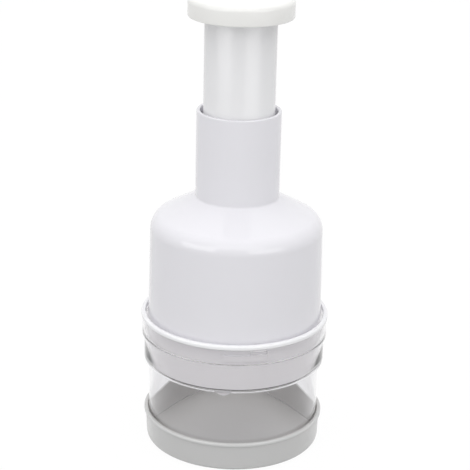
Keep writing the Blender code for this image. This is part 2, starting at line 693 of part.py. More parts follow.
def spring_rise(turn, turns, height):
    """The wire's height after some turns: flat closed coils at both ends, an even pitch between."""
    if turn <= 1:
        return END_COIL_RISE * turn
    if turn >= turns - 1:
        return height - END_COIL_RISE * (turns - turn)
    return END_COIL_RISE + (height - 2 * END_COIL_RISE) * (turn - 1) / (turns - 2)


def build_spring(body):
    """The return spring, one unbroken wire between the guide plate and the plunger's core."""
    low = PLATE_TOP_Z + SEAT_GAP + WIRE_RADIUS
    height = CORE_DISC_Z - SEAT_GAP - WIRE_RADIUS - low
    curve = bpy.data.curves.new("main_spring", "CURVE")
    curve.dimensions = "3D"
    curve.bevel_depth = WIRE_RADIUS
    curve.bevel_resolution = 1
    curve.use_fill_caps = True
    turns = SPRING_TURNS + 2
    count = turns * COIL_POINTS + 1
    wire = curve.splines.new("POLY")
    wire.points.add(count - 1)
    for index, point in enumerate(wire.points):
        turn = index / COIL_POINTS
        angle = math.tau * turn
        z = spring_rise(turn, turns, height)
        point.co = (SPRING_RADIUS * math.cos(angle), SPRING_RADIUS * math.sin(angle), z, 1.0)
    add_object("main_spring", curve, low, body, STEEL)


def build_housing(body):
    """Everything that stays with the bell. The bush guides the tube and the bumper ends its stroke."""
    build_bell(body)
    build_guide(body)
    build_spring(body)
    neck_fit = NECK_BORE - SEAT_GAP
    ring("neck_bush", TUBE_RADIUS + SEAT_GAP, neck_fit, BUSH_HEIGHT, BUSH_Z, body, ACETAL)
    ring("stop_bumper", neck_fit - BUMPER_WIDTH, neck_fit, BUMPER_HEIGHT, BUMPER_Z, body,
         RUBBER, BUMPER_ROUND, SMALL_STEPS)
    build_retainer(body)


def build_retainer(body):
    """The ring that holds the wiper plate up, and its three tongues that centre it in the barrel."""
    outer = SKIRT_BORE - SEAT_GAP
    retainer = ring("retainer_ring", outer - RING_WIDTH, outer, RING_HEIGHT, RING_Z, body, BELL_PLASTIC)
    tongue_outer = CHAMBER_RADIUS - 2 * SEAT_GAP
    tongue_z = RING_Z - TONGUE_DROP + TONGUE_RADIUS
    for index, angle in enumerate(thirds()):
        tongue = disc("tongue_%d" % index, TONGUE_RADIUS, TONGUE_THICKNESS, tongue_z)
        turned_about(tongue, TONGUE_ANGLE + angle, tongue_outer - TONGUE_THICKNESS)
        tongue.rotation_euler.y = math.pi / 2
        width = 3 * TONGUE_RADIUS
        trim = block("tongue_trim_%d" % index, width, width, width, RING_Z + RING_HEIGHT - SEAT_GAP)
        turned_about(trim, TONGUE_ANGLE + angle, tongue_outer)
        combine(tongue, trim, "DIFFERENCE")
        combine(retainer, tongue, "UNION")


# Wiper

def build_wiper(body):
    """The plate that turns with the blade and strips it clean as it rises through the folded slot."""
    wiper = turned("wiper_plate", rounded([
        (0.0, WIPER_THICKNESS),
        (SKIRT_BORE - RUN_GAP, WIPER_THICKNESS, WIPER_EDGE_ROUND, 1),
        (SKIRT_BORE - RUN_GAP, 0.0, WIPER_EDGE_ROUND, 1),
        (0.0, 0.0),
    ]), WIPER_Z, body, BELL_PLASTIC, SMALL_STEPS, closed=False)
    slot = prism("wiper_slot", strip(blade_folds(), BLADE_THICKNESS / 2 + SLOT_GAP, SLOT_GAP),
                 WIPER_THICKNESS + 2 * CUT_OVERRUN, WIPER_Z - CUT_OVERRUN)
    combine(wiper, slot, "DIFFERENCE")


# Plunger

def build_plunger(body):
    """The knob, the tube that slides in the neck, and the core that carries the shaft's bearing."""
    groove_low, groove_high = TUBE_BORE - SEAT_GAP, TUBE_RADIUS + SEAT_GAP
    hollow_inner = groove_high + KNOB_WALL
    hollow_outer = KNOB_RADIUS - KNOB_WALL
    socket = TUBE_SOCKET + SEAT_GAP
    knob = turned("knob_cap", rounded([
        (0.0, KNOB_THICKNESS),
        (KNOB_RADIUS, KNOB_THICKNESS, KNOB_EDGE_ROUND, 3),
        (KNOB_RADIUS, 0.0, KNOB_LOW_ROUND, 1),
        (hollow_outer, 0.0),
        (hollow_outer, KNOB_HOLLOW),
        (hollow_inner, KNOB_HOLLOW),
        (hollow_inner, 0.0),
        (groove_high, 0.0),
        (groove_high, socket),
        (groove_low, socket),
        (groove_low, 0.0),
        (0.0, 0.0),
    ]), KNOB_Z, body, KNOB_PLASTIC, closed=False)
    combine(knob, screw_hole("knob_pilot", KNOB_Z, KNOB_SCREW_TIP_Z), "DIFFERENCE")

    turned("plunger_tube", rounded([
        (TUBE_BORE, KNOB_Z + TUBE_SOCKET - TUBE_Z),
        (TUBE_RADIUS, KNOB_Z + TUBE_SOCKET - TUBE_Z),
        (TUBE_RADIUS, TUBE_FLANGE_HEIGHT),
        (TUBE_FLANGE_RADIUS, TUBE_FLANGE_HEIGHT, TUBE_FLANGE_ROUND, 1),
        (TUBE_FLANGE_RADIUS, 0.0, TUBE_FLANGE_ROUND, 1),
        (TUBE_BORE, 0.0),
    ]), TUBE_Z, body, TUBE_PLASTIC)

    stem_low = SHAFT_HEAD_Z - CORE_DISC_Z
    seat = WASHER_Z + WASHER_THICKNESS + SEAT_GAP - CORE_DISC_Z
    stem_radius = HEAD_BORE + CORE_STEM_WALL
    turned("plunger_core", [
        (SCREW_HOLE, CORE_DISC_THICKNESS),
        (CORE_DISC_RADIUS, CORE_DISC_THICKNESS),
        (CORE_DISC_RADIUS, 0.0),
        (stem_radius, 0.0),
        (stem_radius, stem_low),
        (HEAD_BORE, stem_low),
        (HEAD_BORE, seat),
        (CORE_BORE_RADIUS, seat),
        (CORE_BORE_RADIUS, 0.0),
        (SCREW_HOLE, 0.0),
    ], CORE_DISC_Z, body, ACETAL, SMALL_STEPS)

    pan_screw("knob_screw", KNOB_SCREW_LENGTH, SCREW_HEAD_RADIUS, SCREW_HEAD_THICKNESS,
              KNOB_SCREW_Z, body)
    ring("thrust_washer", WASHER_BORE, SHAFT_HEAD_RADIUS, WASHER_THICKNESS, WASHER_Z, body, STEEL,
         steps=SMALL_STEPS)
    cap_bore = stem_radius + SEAT_GAP
    turned("stem_cap", [
        (cap_bore, CAP_HEIGHT),
        (cap_bore + CAP_WALL, CAP_HEIGHT),
        (cap_bore + CAP_WALL, 0.0),
        (SHAFT_NECK_RADIUS + RUN_GAP, 0.0),
        (SHAFT_NECK_RADIUS + RUN_GAP, CAP_FLOOR),
        (cap_bore, CAP_FLOOR),
    ], CAP_Z, body, ACETAL, SMALL_STEPS)


# Blade

def twisted_bar(name, growth, z, length):
    """A flat bar twisted so that it turns by the index angle over the stroke, in phase with the shaft."""
    half_x, half_y = BAR_WIDTH / 2 + growth, BAR_THICKNESS / 2 + growth
    corners = ((-half_x, -half_y), (half_x, -half_y), (half_x, half_y), (-half_x, half_y))
    bar = prism(name, corners, length, z)
    shape = bmesh.new()
    shape.from_mesh(bar.data)
    for level in range(1, BAR_LEVELS):
        bmesh.ops.bisect_plane(
            shape,
            geom=[*shape.verts, *shape.edges, *shape.faces],
            plane_co=(0.0, 0.0, length * level / BAR_LEVELS),
            plane_no=(0.0, 0.0, 1.0),
        )
    for vertex in shape.verts:
        spin = Matrix.Rotation(-TWIST_RATE * (vertex.co.z + z - BAR_Z), 3, "Z")
        vertex.co = spin @ vertex.co
    shape.to_mesh(bar.data)
    shape.free()
    return bar


def build_blade(body):
    """The twisted shaft, the holder at its foot, the folded blade and the screw that clamps them."""
    bar_low = SHAFT_FLANGE_Z + SHAFT_FLANGE_THICKNESS / 2
    bar_high = SHAFT_HEAD_Z - SHAFT_NECK_LENGTH / 2
    flange = SHAFT_FLANGE_Z - HOLDER_TOP_Z + SHAFT_SPIGOT_LENGTH
    shaft_z = HOLDER_TOP_Z - SHAFT_SPIGOT_LENGTH
    shaft = turned("twist_shaft", [
        (0.0, flange + SHAFT_FLANGE_THICKNESS),
        (SHAFT_FLANGE_RADIUS, flange + SHAFT_FLANGE_THICKNESS),
        (SHAFT_FLANGE_RADIUS, flange),
        (SHAFT_SPIGOT_RADIUS, flange),
        (SHAFT_SPIGOT_RADIUS, 0.0),
        (0.0, 0.0),
    ], shaft_z, body, STEEL, SMALL_STEPS, closed=False)
    combine(shaft, twisted_bar("shaft_bar", 0.0, bar_low, bar_high - bar_low), "UNION")
    head = turned("shaft_head", [
        (0.0, SHAFT_HEAD_THICKNESS),
        (SHAFT_HEAD_RADIUS, SHAFT_HEAD_THICKNESS),
        (SHAFT_HEAD_RADIUS, 0.0),
        (SHAFT_NECK_RADIUS, 0.0),
        (SHAFT_NECK_RADIUS, -SHAFT_NECK_LENGTH),
        (0.0, -SHAFT_NECK_LENGTH),
    ], SHAFT_HEAD_Z, steps=SMALL_STEPS, closed=False)
    combine(shaft, head, "UNION")
    combine(shaft, screw_hole("shaft_pilot", shaft_z, HOLDER_SCREW_TIP_Z), "DIFFERENCE")

    sink_top = HOLDER_SCREW_HEAD_THICKNESS + 2 * SEAT_GAP
    holder = turned("blade_holder", rounded([
        (SHAFT_SPIGOT_RADIUS + SEAT_GAP, HOLDER_THICKNESS),
        (HOLDER_RADIUS, HOLDER_THICKNESS, HOLDER_EDGE_ROUND, 1),
        (HOLDER_RADIUS, 0.0, HOLDER_EDGE_ROUND, 1),
        (HOLDER_SCREW_HEAD_RADIUS + SEAT_GAP, 0.0),
        (HOLDER_SCREW_HEAD_RADIUS + SEAT_GAP, sink_top),
        (SHAFT_SPIGOT_RADIUS + SEAT_GAP, sink_top),
    ]), HOLDER_Z, body, ACETAL, SMALL_STEPS)
    groove = prism("holder_groove", strip(blade_folds(), BLADE_THICKNESS / 2 + SEAT_GAP, SEAT_GAP),
                   BLADE_SEAT + SEAT_GAP + CUT_OVERRUN, HOLDER_Z - CUT_OVERRUN)
    combine(holder, groove, "DIFFERENCE")

    pan_screw("holder_screw", HOLDER_SCREW_LENGTH, HOLDER_SCREW_HEAD_RADIUS,
              HOLDER_SCREW_HEAD_THICKNESS, HOLDER_SCREW_Z, body)
    build_edge(body)


def build_edge(body):
    """The folded stainless blade, ground thin along its lower edge."""
    height = HOLDER_Z + BLADE_SEAT - BLADE_Z
    mesh = bpy.data.meshes.new("chopping_blade")
    shape = bmesh.new()
    rows = (
        (0.0, BLADE_EDGE_THICKNESS / 2),
        (BLADE_EDGE_HEIGHT, BLADE_THICKNESS / 2),
        (height, BLADE_THICKNESS / 2),
    )
    loops = []
    for z, half_width in rows:
        loops.append([shape.verts.new((x, y, z)) for x, y in strip(blade_folds(), half_width)])
    for low, high in zip(loops, loops[1:]):
        for index in range(len(low)):
            follower = (index + 1) % len(low)
            shape.faces.new((low[index], low[follower], high[follower], high[index]))
    shape.faces.new(loops[0])
    shape.faces.new(loops[-1])
    bmesh.ops.triangulate(shape, faces=shape.faces)
    bmesh.ops.recalc_face_normals(shape, faces=shape.faces)
    shape.to_mesh(mesh)
    shape.free()
    add_object("chopping_blade", mesh, BLADE_Z, body, STEEL)


# Assembly

for old in list(bpy.data.objects):
    bpy.data.objects.remove(old)

parts = bpy.data.collections.new("food_chopper")
cutters = bpy.data.collections.new("cutters")
bpy.context.scene.collection.children.link(parts)
bpy.context.scene.collection.children.link(cutters)
cutters.hide_render = True

KNOB_PLASTIC = make_material("knob_plastic", (0.83, 0.82, 0.79), 0.35)
TUBE_PLASTIC = make_material("tube_plastic", (0.76, 0.76, 0.77), 0.35)
BELL_PLASTIC = make_material("bell_plastic", (0.74, 0.73, 0.77), 0.2)
GREY_PLASTIC = make_material("base_plastic", (0.52, 0.52, 0.51), 0.4)
CLEAR_PLASTIC = make_material("clear_plastic", (0.97, 0.97, 1.0), 0.05, transmission=1.0)
ACETAL = make_material("acetal", (0.7, 0.7, 0.69), 0.4)
RUBBER = make_material("rubber", (0.2, 0.2, 0.2), 0.8)
STEEL = make_material("stainless_steel", (0.62, 0.62, 0.63), 0.3, metallic=1.0)

build_container(body_empty("container_body"))
build_base(body_empty("base_body"))
build_housing(body_empty("housing_body"))
build_plunger(body_empty("plunger_body"))
build_blade(body_empty("blade_body"))
build_wiper(body_empty("wiper_body"))

for piece in parts.objects:
    if piece.type == "MESH":
        shade_round(piece)
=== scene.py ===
"""Upright hand food chopper: its visible pieces, finishes, light and camera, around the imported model."""

import math

import bmesh
import bpy
from mathutils import Matrix, Vector


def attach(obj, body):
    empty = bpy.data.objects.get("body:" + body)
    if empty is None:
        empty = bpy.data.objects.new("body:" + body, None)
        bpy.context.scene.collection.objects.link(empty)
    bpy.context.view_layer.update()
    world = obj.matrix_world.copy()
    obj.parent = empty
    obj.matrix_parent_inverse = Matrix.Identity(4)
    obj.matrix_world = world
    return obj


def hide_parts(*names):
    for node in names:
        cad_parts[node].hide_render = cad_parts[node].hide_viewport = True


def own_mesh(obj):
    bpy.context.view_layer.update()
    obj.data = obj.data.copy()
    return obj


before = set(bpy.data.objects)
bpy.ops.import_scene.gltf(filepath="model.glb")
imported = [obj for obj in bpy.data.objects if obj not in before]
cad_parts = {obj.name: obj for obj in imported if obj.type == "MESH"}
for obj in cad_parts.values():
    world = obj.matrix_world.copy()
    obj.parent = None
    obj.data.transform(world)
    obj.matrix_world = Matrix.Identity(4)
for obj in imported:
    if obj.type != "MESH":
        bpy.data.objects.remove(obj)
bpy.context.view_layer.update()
bpy.ops.object.select_all(action="DESELECT")

# Camera
# A long lens on a tripod before the table, a little over the knob and looking down on it.

CAMERA_PLACE = (-0.0007, -0.769, 0.3987)
LOOKS_DOWN = math.radians(20.18)
CAMERA_ROLL = math.radians(1.31)
camera_data = bpy.data.cameras.new("front_camera")
camera_data.sensor_width = 36.0
camera_data.lens = 118.72
camera_data.clip_start = 0.05
camera_data.clip_end = 20.0
camera = bpy.data.objects.new("front_camera", camera_data)
bpy.context.collection.objects.link(camera)
pitch = Matrix.Rotation(math.pi / 2 - LOOKS_DOWN, 4, "X")
roll = Matrix.Rotation(CAMERA_ROLL, 4, "Z")
camera.matrix_world = Matrix.Translation(CAMERA_PLACE) @ pitch @ roll
bpy.context.scene.camera = camera


# Base cup
# A shallow cup moulded in light grey plastic, with a rolled bead round its rim. The container is
# pushed into it and lifts out for serving. Its underside is recessed and carries the three feet.

MM = 0.001
THIRD = math.radians(120.0)


def rounded_outline(corners):
    """The outline in mm through corners (radius, height), rounded where a fillet and its steps follow."""
    points = []
    for index, (radius, height, *fillet) in enumerate(corners):
        here = Vector((radius, height))
        if not fillet:
            points.append(here)
            continue
        back = (Vector(corners[index - 1][:2]) - here).normalized()
        ahead = (Vector(corners[(index + 1) % len(corners)][:2]) - here).normalized()
        half = back.angle(ahead) / 2
        reach = fillet[0] / math.tan(half)
        centre = here + (back + ahead).normalized() * (fillet[0] / math.sin(half))
        start = here + back * reach - centre
        turn = start.angle_signed(here + ahead * reach - centre)
        for step in range(fillet[1] + 1):
            points.append(centre + Matrix.Rotation(-turn * step / fillet[1], 2) @ start)
    return points


def first_point(place):
    """A plane drawn together to one point at the place: the start of a drawn line."""
    bpy.ops.object.select_all(action="DESELECT")
    bpy.ops.mesh.primitive_plane_add(size=MM, location=place)
    bpy.ops.object.transform_apply(location=True, rotation=True, scale=True)
    bpy.ops.object.mode_set(mode="EDIT")
    bpy.ops.mesh.select_mode(type="VERT")
    bpy.ops.mesh.select_all(action="SELECT")
    bpy.ops.mesh.merge(type="CENTER")


def close_skin():
    """Merge the seam and the poles of the piece in edit mode, and turn its faces outwards."""
    bpy.ops.mesh.select_all(action="SELECT")
    bpy.ops.mesh.remove_doubles(threshold=0.002 * MM)
    bpy.ops.mesh.dissolve_degenerate(threshold=0.001 * MM)
    bpy.ops.mesh.normals_make_consistent(inside=False)


def finished(name, body, smooth=32.0):
    """Leave edit mode, smooth the piece up to the given angle and set it on its body."""
    if bpy.context.object.mode == "EDIT":
        bpy.ops.object.mode_set(mode="OBJECT")
    piece = bpy.context.object
    piece.name = name
    piece.data.name = name
    bpy.ops.object.transform_apply(location=True, rotation=True, scale=True)
    bpy.ops.object.shade_smooth_by_angle(angle=math.radians(smooth))
    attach(piece, body)
    return piece


def turned_piece(outline, steps=192, start=0.0, closed=True):
    """Draw the outline, in mm, in the plane at the start angle and spin it once round the axis."""
    side = Vector((math.cos(start), math.sin(start), 0.0)) * MM
    line = [side * radius + Vector((0.0, 0.0, height * MM)) for radius, height in outline]
    first_point(line[0])
    for here, there in zip(line, line[1:] + line[:1] if closed else line[1:]):
        bpy.ops.mesh.extrude_vertices_move(TRANSFORM_OT_translate={"value": there - here})
    bpy.ops.mesh.select_all(action="SELECT")
    bpy.ops.mesh.remove_doubles(threshold=0.002 * MM)
    bpy.ops.mesh.spin(steps=steps, angle=math.tau, use_auto_merge=True, center=(0, 0, 0), axis=(0, 0, 1))
    close_skin()
    return bpy.context.object


def moulded_skin():
    """Colour that drifts as the melt flowed, a gloss that handling has dulled in places, fine grain."""
    group = bpy.data.node_groups.new("moulded_skin", "ShaderNodeTree")
    sockets = group.interface
    sockets.new_socket(name="Colour", in_out="INPUT", socket_type="NodeSocketColor")
    sockets.new_socket(name="Flow colour", in_out="INPUT", socket_type="NodeSocketColor")
    for name in ("Flow scale", "Gloss", "Dulling"):
        sockets.new_socket(name=name, in_out="INPUT", socket_type="NodeSocketFloat")
    sockets.new_socket(name="Colour", in_out="OUTPUT", socket_type="NodeSocketColor")
    sockets.new_socket(name="Roughness", in_out="OUTPUT", socket_type="NodeSocketFloat")
    sockets.new_socket(name="Height", in_out="OUTPUT", socket_type="NodeSocketFloat")
    nodes, links = group.nodes, group.links
    given = nodes.new("NodeGroupInput")
    made = nodes.new("NodeGroupOutput")
    place = nodes.new("ShaderNodeTexCoord").outputs["Object"]
    flow = nodes.new("ShaderNodeTexNoise")
    flow.inputs["Detail"].default_value = 2.0
    flow.inputs["Distortion"].default_value = 0.6
    links.new(place, flow.inputs["Vector"])
    links.new(given.outputs["Flow scale"], flow.inputs["Scale"])
    tint = nodes.new("ShaderNodeMix")
    tint.data_type = "RGBA"
    links.new(flow.outputs["Fac"], tint.inputs["Factor"])
    links.new(given.outputs["Colour"], tint.inputs["A"])
    links.new(given.outputs["Flow colour"], tint.inputs["B"])
    links.new(tint.outputs["Result"], made.inputs["Colour"])
    touch = nodes.new("ShaderNodeTexNoise")
    touch.inputs["Scale"].default_value = 24.0
    touch.inputs["Detail"].default_value = 1.0
    links.new(place, touch.inputs["Vector"])
    patches = nodes.new("ShaderNodeMapRange")
    patches.interpolation_type = "SMOOTHSTEP"
    patches.inputs["From Min"].default_value = 0.25
    patches.inputs["From Max"].default_value = 0.8
    links.new(touch.outputs["Fac"], patches.inputs["Value"])
    dulled = nodes.new("ShaderNodeMath")
    dulled.operation = "MULTIPLY_ADD"
    links.new(patches.outputs["Result"], dulled.inputs[0])
    links.new(given.outputs["Dulling"], dulled.inputs[1])
    links.new(given.outputs["Gloss"], dulled.inputs[2])
    links.new(dulled.outputs["Value"], made.inputs["Roughness"])
    grain = nodes.new("ShaderNodeTexNoise")
    grain.inputs["Scale"].default_value = 1600.0
    grain.inputs["Detail"].default_value = 2.0
    links.new(place, grain.inputs["Vector"])
    links.new(grain.outputs["Fac"], made.inputs["Height"])
    return group


def plastic(name, colour, flow_colour, gloss, dulling, flow_scale=14.0, grain=0.04, ior=1.49, shine=0.8):
    """An opaque moulded plastic with the moulded skin."""
    material = bpy.data.materials.new(name)
    material.use_nodes = True
    nodes, links = material.node_tree.nodes, material.node_tree.links
    shader = nodes["Principled BSDF"]
    shader.inputs["IOR"].default_value = ior
    shader.inputs["Specular IOR Level"].default_value = shine
    skin = nodes.new("ShaderNodeGroup")
    skin.node_tree = bpy.data.node_groups.get("moulded_skin") or moulded_skin()
    skin.inputs["Colour"].default_value = (*colour, 1.0)
    skin.inputs["Flow colour"].default_value = (*flow_colour, 1.0)
    skin.inputs["Flow scale"].default_value = flow_scale
    skin.inputs["Gloss"].default_value = gloss
    skin.inputs["Dulling"].default_value = dulling
    bump = nodes.new("ShaderNodeBump")
    bump.inputs["Strength"].default_value = grain
    bump.inputs["Distance"].default_value = 0.1 * MM
    links.new(skin.outputs["Colour"], shader.inputs["Base Color"])
    links.new(skin.outputs["Roughness"], shader.inputs["Roughness"])
    links.new(skin.outputs["Height"], bump.inputs["Height"])
    links.new(bump.outputs["Normal"], shader.inputs["Normal"])
    return material


BASE_Z = 1.2
BASE_FLOOR_Z = 4.4
BASE_RIM_Z = 17.5
BASE_BORE = 46.2
BASE_BEAD_RADIUS = 48.4
BASE_BEAD_HEIGHT = 2.2
BASE_WALL_RADIUS = 47.5
BASE_FOOT_RADIUS = 46.9
RECESS_RADIUS = 37.0
RECESS_DEPTH = 1.2
base_outline = rounded_outline([
    (0.0, BASE_FLOOR_Z),
    (BASE_BORE, BASE_FLOOR_Z, 0.2, 2),
    (BASE_BORE, BASE_RIM_Z, 0.5, 4),
    (BASE_BEAD_RADIUS, BASE_RIM_Z, 0.9, 6),
    (BASE_BEAD_RADIUS, BASE_RIM_Z - BASE_BEAD_HEIGHT, 0.9, 6),
    (BASE_WALL_RADIUS, BASE_RIM_Z - BASE_BEAD_HEIGHT, 0.3, 3),
    (BASE_FOOT_RADIUS, BASE_Z, 2.2, 8),
    (RECESS_RADIUS, BASE_Z, 0.5, 3),
    (RECESS_RADIUS, BASE_Z + RECESS_DEPTH, 0.3, 2),
    (0.0, BASE_Z + RECESS_DEPTH),
])
base_cup = turned_piece(base_outline, closed=False)
base_cup = finished("base_cup_moulding", "base")
base_cup.data.materials.append(plastic(
    "grey_cup_plastic", (0.655, 0.655, 0.652), (0.625, 0.625, 0.622), gloss=0.2, dulling=0.05))
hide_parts("base_cup")

# Feet
# Three small buttons of grey rubber pushed into the underside; the front one's tip shows.

FOOT_CIRCLE = 41.0
FOOT_TOP_Z = 1.7
FOOT_RADIUS = 2.2
DIMPLE_RADIUS = 0.9
DIMPLE_DEPTH = 0.25
rubber = plastic("grey_foot_rubber", (0.36, 0.36, 0.36), (0.31, 0.31, 0.315), gloss=0.62, dulling=0.2,
                 flow_scale=120.0, grain=0.35, ior=1.52)
for node, angle in (("foot_front", -90.0), ("foot_right", 30.0), ("foot_left", 150.0)):
    turned_piece(rounded_outline([
        (0.0, FOOT_TOP_Z),
        (FOOT_RADIUS, FOOT_TOP_Z, 0.15, 2),
        (FOOT_RADIUS, 0.0, 0.45, 5),
        (DIMPLE_RADIUS, 0.0, 0.2, 3),
        (DIMPLE_RADIUS, DIMPLE_DEPTH),
        (0.0, DIMPLE_DEPTH),
    ]), steps=48, closed=False)
    bpy.ops.mesh.select_all(action="SELECT")
    turn = math.radians(angle)
    place = Vector((math.cos(turn), math.sin(turn), 0)) * FOOT_CIRCLE * MM
    bpy.ops.transform.translate(value=place)
    foot = finished(node + "_button", "base")
    foot.data.materials.append(rubber)
    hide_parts(node)

# Container
# The clear chopping bowl, one polished moulding: a barrel that stands in the base cup, a ledge and a
# wider stepped collar with three lugs. The thick bead on its rim is part of the same clear moulding,
# but it gathers the light and looks white, so it is a mesh of its own in opaque white: painted light.

BARREL_Z = 4.7
BARREL_RADIUS = 45.9
BARREL_BORE = 43.8
LEDGE_Z = 47.9
LEDGE_DEPTH = 1.6
COLLAR_RADIUS = 48.4
COLLAR_BORE = 47.1
STEP_Z = 61.3
BAND_RADIUS = 49.6
BAND_BORE = 47.8
BORE_STEP_LOW_Z = 62.6
BORE_STEP_HIGH_Z = 63.3
BEAD_Z = 71.5
BEAD_TOP_Z = 73.9
BEAD_RADIUS = 50.1
BEAD_GAP = 0.05
LUG_LOW_Z = 68.1
LUG_HIGH_Z = 70.1
LUG_END = math.radians(-69.35)
LUG_SPAN = math.radians(10.5)
LUG_BORE = 47.0
CONTAINER_STEPS = 240


def pick_faces(piece, wanted):
    """Select only the faces whose middle, in mm and as an angle round the axis, passes the test."""
    bpy.ops.mesh.select_mode(type="FACE")
    bpy.ops.mesh.select_all(action="DESELECT")
    shape = bmesh.from_edit_mesh(piece.data)
    for face in shape.faces:
        middle = face.calc_center_median() / MM
        face.select_set(wanted(middle.xy.length, middle.z, math.atan2(middle.y, middle.x)))
    bmesh.update_edit_mesh(piece.data)


def within(angle, start, span):
    """True where the angle lies in one of the three arcs of that span, a third of a turn apart."""
    return (angle - start) % THIRD < span


container = turned_piece(rounded_outline([
    (BAND_BORE, BEAD_Z - BEAD_GAP),
    (BAND_RADIUS, BEAD_Z - BEAD_GAP),
    (BAND_RADIUS, STEP_Z, 0.4, 4),
    (COLLAR_RADIUS, STEP_Z, 0.3, 3),
    (COLLAR_RADIUS, LEDGE_Z - LEDGE_DEPTH, 1.9, 10),
    (BARREL_RADIUS, LEDGE_Z - LEDGE_DEPTH, 0.8, 5),
    (BARREL_RADIUS, BARREL_Z, 0.6, 4),
    (BARREL_BORE, BARREL_Z, 0.6, 4),
    (BARREL_BORE, LEDGE_Z, 0.6, 4),
    (COLLAR_BORE, LEDGE_Z, 0.3, 3),
    (COLLAR_BORE, BORE_STEP_LOW_Z, 0.15, 2),
    (BAND_BORE, BORE_STEP_HIGH_Z, 0.15, 2),
    (BAND_BORE, LUG_LOW_Z),
    (BAND_BORE, LUG_HIGH_Z),
]), steps=CONTAINER_STEPS, start=LUG_END)
pick_faces(container, lambda radius, height, angle: (
    abs(radius - BAND_BORE) < 0.1 and LUG_LOW_Z < height < LUG_HIGH_Z
    and within(angle, LUG_END - LUG_SPAN, LUG_SPAN)))
bpy.ops.mesh.extrude_region_move()
lug_share = LUG_BORE / BAND_BORE
bpy.ops.transform.resize(value=(lug_share, lug_share, 1), center_override=(0, 0, 0))
container = finished("clear_container", "container")
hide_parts("container")


def clear_plastic(name):
    """Polished clear styrene, faintly lavender, that lets the lamps' light through to what it holds."""
    material = bpy.data.materials.new(name)
    material.use_nodes = True
    nodes, links = material.node_tree.nodes, material.node_tree.links
    shader = nodes["Principled BSDF"]
    shader.inputs["Transmission Weight"].default_value = 1.0
    shader.inputs["IOR"].default_value = 1.53
    skin = nodes.new("ShaderNodeGroup")
    skin.node_tree = bpy.data.node_groups["moulded_skin"]
    skin.inputs["Colour"].default_value = (0.915, 0.912, 0.925, 1.0)
    skin.inputs["Flow colour"].default_value = (0.90, 0.897, 0.91, 1.0)
    skin.inputs["Flow scale"].default_value = 20.0
    skin.inputs["Gloss"].default_value = 0.015
    skin.inputs["Dulling"].default_value = 0.03
    links.new(skin.outputs["Colour"], shader.inputs["Base Color"])
    links.new(skin.outputs["Roughness"], shader.inputs["Roughness"])
    open_way = nodes.new("ShaderNodeBsdfTransparent")
    open_way.inputs["Color"].default_value = (0.955, 0.945, 0.935, 1.0)
    ray = nodes.new("ShaderNodeLightPath")
    lighting = nodes.new("ShaderNodeMath")
    lighting.operation = "MAXIMUM"
    links.new(ray.outputs["Is Shadow Ray"], lighting.inputs[0])
    links.new(ray.outputs["Is Diffuse Ray"], lighting.inputs[1])
    mix = nodes.new("ShaderNodeMixShader")
    links.new(lighting.outputs["Value"], mix.inputs["Fac"])
    links.new(shader.outputs["BSDF"], mix.inputs[1])
    links.new(open_way.outputs["BSDF"], mix.inputs[2])
    links.new(mix.outputs["Shader"], nodes["Material Output"].inputs["Surface"])
    return material


container.data.materials.append(clear_plastic("clear_lavender_plastic"))
bead = turned_piece(rounded_outline([
    (BAND_BORE, BEAD_TOP_Z, 0.3, 3),
    (BEAD_RADIUS, BEAD_TOP_Z, 1.1, 8),
    (BEAD_RADIUS, BEAD_Z, 0.6, 4),
    (BAND_BORE, BEAD_Z),
]), steps=CONTAINER_STEPS)
bead = finished("container_bead", "container")
# The bead's opaque white is painted light: it stands in for the light gathered in the clear bead.
bead.data.materials.append(plastic(
    "bead_painted_light_white", (0.93, 0.93, 0.945), (0.91, 0.91, 0.93), gloss=0.12, dulling=0.03))

# Wiper plate
# A white disc under the bell that turns with the blade; the folded slot strips the blade clean.

bell_white = plastic(
    "bell_white_plastic", (0.84, 0.832, 0.872), (0.815, 0.808, 0.85), gloss=0.05, dulling=0.02)
BLADE_REACH = 37.5
BLADE_GAUGE = 0.7
FOLD_CUT = 1.4
SLOT_GAP = 0.7
WIPER_RADIUS = 44.1
WIPER_Z = 50.5
WIPER_TOP_Z = 53.0
CUT_OVERRUN = 1.5
FOLDS = [(across * BLADE_REACH, depth * BLADE_REACH) for across, depth in (
    (-0.93, -0.32), (-0.55, 0.82), (0.0, -0.96), (0.55, 0.82), (0.93, -0.32))]


def folded_strip(low_z, high_z, run_on, rows=()):
    """A sheet that stands on the blade's folded line, in mm, with its folds pressed to a small round."""
    line = [Vector((x, y, 0.0)) for x, y in FOLDS]
    line[0] += (line[0] - line[1]).normalized() * run_on
    line[-1] += (line[-1] - line[-2]).normalized() * run_on
    first_point((line[0] + Vector((0, 0, low_z))) * MM)
    heights = [low_z, *rows, high_z]
    for low, high in zip(heights, heights[1:]):
        bpy.ops.mesh.extrude_vertices_move(TRANSFORM_OT_translate={"value": (0, 0, (high - low) * MM)})
    bpy.ops.mesh.select_all(action="SELECT")
    for here, there in zip(line, line[1:]):
        bpy.ops.mesh.extrude_edges_move(TRANSFORM_OT_translate={"value": (there - here) * MM})
    piece = bpy.context.object
    bpy.ops.mesh.select_mode(type="EDGE")
    bpy.ops.mesh.select_all(action="DESELECT")
    shape = bmesh.from_edit_mesh(piece.data)
    for edge in shape.edges:
        middle = (edge.verts[0].co + edge.verts[1].co) / 2 / MM
        upright = abs(edge.verts[0].co.z - edge.verts[1].co.z) > MM
        edge.select_set(upright and any((middle.xy - Vector(fold)).length < 0.1 for fold in FOLDS[1:-1]))
    bmesh.update_edit_mesh(piece.data)
    bpy.ops.mesh.bevel(offset=FOLD_CUT * MM, segments=6, affect="EDGES")
    return piece


